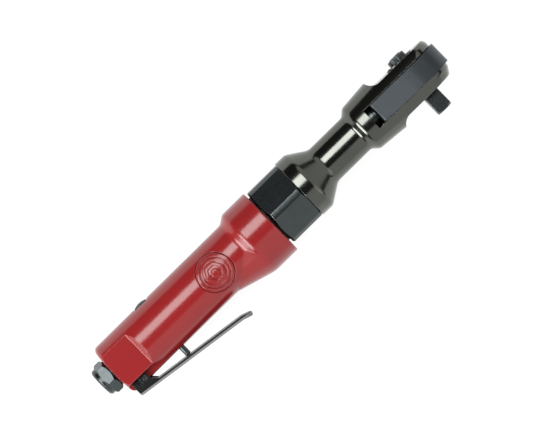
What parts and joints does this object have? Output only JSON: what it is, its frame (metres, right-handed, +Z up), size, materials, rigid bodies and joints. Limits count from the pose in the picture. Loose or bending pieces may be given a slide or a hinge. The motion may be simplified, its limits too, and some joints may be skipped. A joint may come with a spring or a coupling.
{
  "type": "air ratchet",
  "caption": "Pneumatic ratchet wrench with a vane motor, planetary gears, a swinging yoke and a square drive.",
  "frame": {"origin": "centre of the tool's box on the bench it lies on", "axes": "+X along the tool from the air inlet to the head, -Y out of the drive square, +Z up"},
  "size_m": [0.262, 0.0512, 0.0405],
  "materials": {
    "red_enamel": "gloss enamel over cast aluminium",
    "black_oxide": "black oxide, oiled",
    "dark_steel": "hardened dark steel",
    "gunmetal": "phosphated steel",
    "lever_steel": "blackened pressed steel",
    "ground_steel": "ground bearing steel",
    "gear_steel": "hardened gear steel",
    "cast_plate": "machined cast iron",
    "brass": "machined brass",
    "rubber": "nitrile rubber",
    "phenolic": "linen phenolic",
    "felt": "pressed felt",
    "spring_steel": "spring wire"
  },
  "bodies": {
    "housing": {"motor_housing": "red_enamel", "inlet_bushing": "dark_steel", "inlet_screen": "brass", "inlet_seal": "rubber", "exhaust_silencer": "felt", "lever_pin": "dark_steel", "valve_seat": "brass", "stem_seal": "rubber", "valve_spring": "spring_steel", "rear_end_plate": "cast_plate", "rear_bearing": "ground_steel", "cylinder": "cast_plate", "cylinder_pin": "ground_steel", "front_end_plate": "cast_plate", "front_bearing": "ground_steel", "ring_gear": "gear_steel", "crank_bearing": "ground_steel", "crank_needle_bearing": "ground_steel", "clamp_nut": "dark_steel", "clamp_ring": "spring_steel", "ratchet_housing": "black_oxide", "friction_washer": "spring_steel", "thrust_washer": "ground_steel", "retaining_ring": "spring_steel"},
    "lever": {"throttle_lever": "lever_steel"},
    "valve": {"throttle_pin": "dark_steel", "throttle_valve": "brass"},
    "regulator": {"regulator_screw": "gunmetal", "regulator_seal": "rubber"},
    "rotor": {"rotor": "gear_steel", "rotor_vane_1": "phenolic", "rotor_vane_2": "phenolic", "rotor_vane_3": "phenolic", "rotor_vane_4": "phenolic", "rotor_vane_5": "phenolic"},
    "crank": {"crankshaft": "dark_steel", "crank_spacer": "ground_steel", "planet_pins": "ground_steel"},
    "planet_1": {"planet_gear_1": "gear_steel"},
    "planet_2": {"planet_gear_2": "gear_steel"},
    "planet_3": {"planet_gear_3": "gear_steel"},
    "bushing": {"drive_bushing": "ground_steel"},
    "yoke": {"ratchet_yoke": "gunmetal"},
    "anvil": {"anvil": "dark_steel", "pawl_pin": "ground_steel", "detent_ball": "ground_steel", "detent_spring": "spring_steel"},
    "pawl": {"pawl": "gear_steel"},
    "selector": {"reverse_knob": "dark_steel", "selector_plunger": "ground_steel", "selector_spring": "spring_steel"}
  },
  "joints": [
    {"name": "lever_pivot", "type": "hinge", "parent": "housing", "child": "lever", "pos_m": [-0.1111, -0.0087, 0.02025], "axis": [0, 0, 1], "range_deg": [0, 6.5], "stiffness_Nm_per_rad": 0.5, "springref_deg": -8.59},
    {"name": "valve_slide", "type": "slide", "parent": "housing", "child": "valve", "axis": [0, 1, 0], "range_m": [0, 0.003], "deforming": ["valve_spring"]},
    {"name": "regulator_turn", "type": "hinge", "parent": "housing", "child": "regulator", "pos_m": [-0.085, 0.0056, 0.02025], "axis": [0, 1, 0], "range_deg": [0, 90]},
    {"name": "crank_spin", "type": "hinge", "parent": "housing", "child": "crank", "pos_m": [-0.0038, 0.0056, 0.02025], "axis": [1, 0, 0], "continuous": true},
    {"name": "rotor_spin", "type": "hinge", "parent": "housing", "child": "rotor", "pos_m": [-0.0038, 0.0056, 0.02025], "axis": [1, 0, 0], "continuous": true},
    {"name": "bushing_spin", "type": "hinge", "parent": "crank", "child": "bushing", "pos_m": [0.0835, 0.0031, 0.02025], "axis": [1, 0, 0], "continuous": true},
    {"name": "yoke_swing", "type": "hinge", "parent": "housing", "child": "yoke", "pos_m": [0.1111, 0.0056, 0.02025], "axis": [0, 1, 0], "range_deg": [-6, 6]},
    {"name": "anvil_spin", "type": "hinge", "parent": "housing", "child": "anvil", "pos_m": [0.1111, 0.0056, 0.02025], "axis": [0, 1, 0], "continuous": true},
    {"name": "reverse_turn", "type": "hinge", "parent": "anvil", "child": "selector", "pos_m": [0.1111, 0.0056, 0.02025], "axis": [0, 1, 0], "range_deg": [0, 80]},
    {"name": "pawl_rock", "type": "hinge", "parent": "anvil", "child": "pawl", "pos_m": [0.1111, 0.0056, 0.02765], "axis": [0, 1, 0], "range_deg": [-5, 0]},
    {"name": "planet_1_spin", "type": "hinge", "parent": "crank", "child": "planet_1", "pos_m": [-0.017, 0.0056, 0.02768], "axis": [1, 0, 0], "continuous": true},
    {"name": "planet_2_spin", "type": "hinge", "parent": "crank", "child": "planet_2", "pos_m": [-0.017, -0.00083, 0.01654], "axis": [1, 0, 0], "continuous": true},
    {"name": "planet_3_spin", "type": "hinge", "parent": "crank", "child": "planet_3", "pos_m": [-0.017, 0.01203, 0.01654], "axis": [1, 0, 0], "continuous": true}
  ],
  "couplings": [
    {"joint": "valve_slide", "follows": "lever_pivot", "m_per_rad": 0.0261},
    {"joint": "rotor_spin", "follows": "crank_spin", "ratio": 4.5},
    {"joint": "pawl_rock", "follows": "reverse_turn", "ratio": -0.0625},
    {"joint": "planet_1_spin", "follows": "crank_spin", "ratio": -2.8},
    {"joint": "planet_2_spin", "follows": "crank_spin", "ratio": -2.8},
    {"joint": "planet_3_spin", "follows": "crank_spin", "ratio": -2.8}
  ]
}
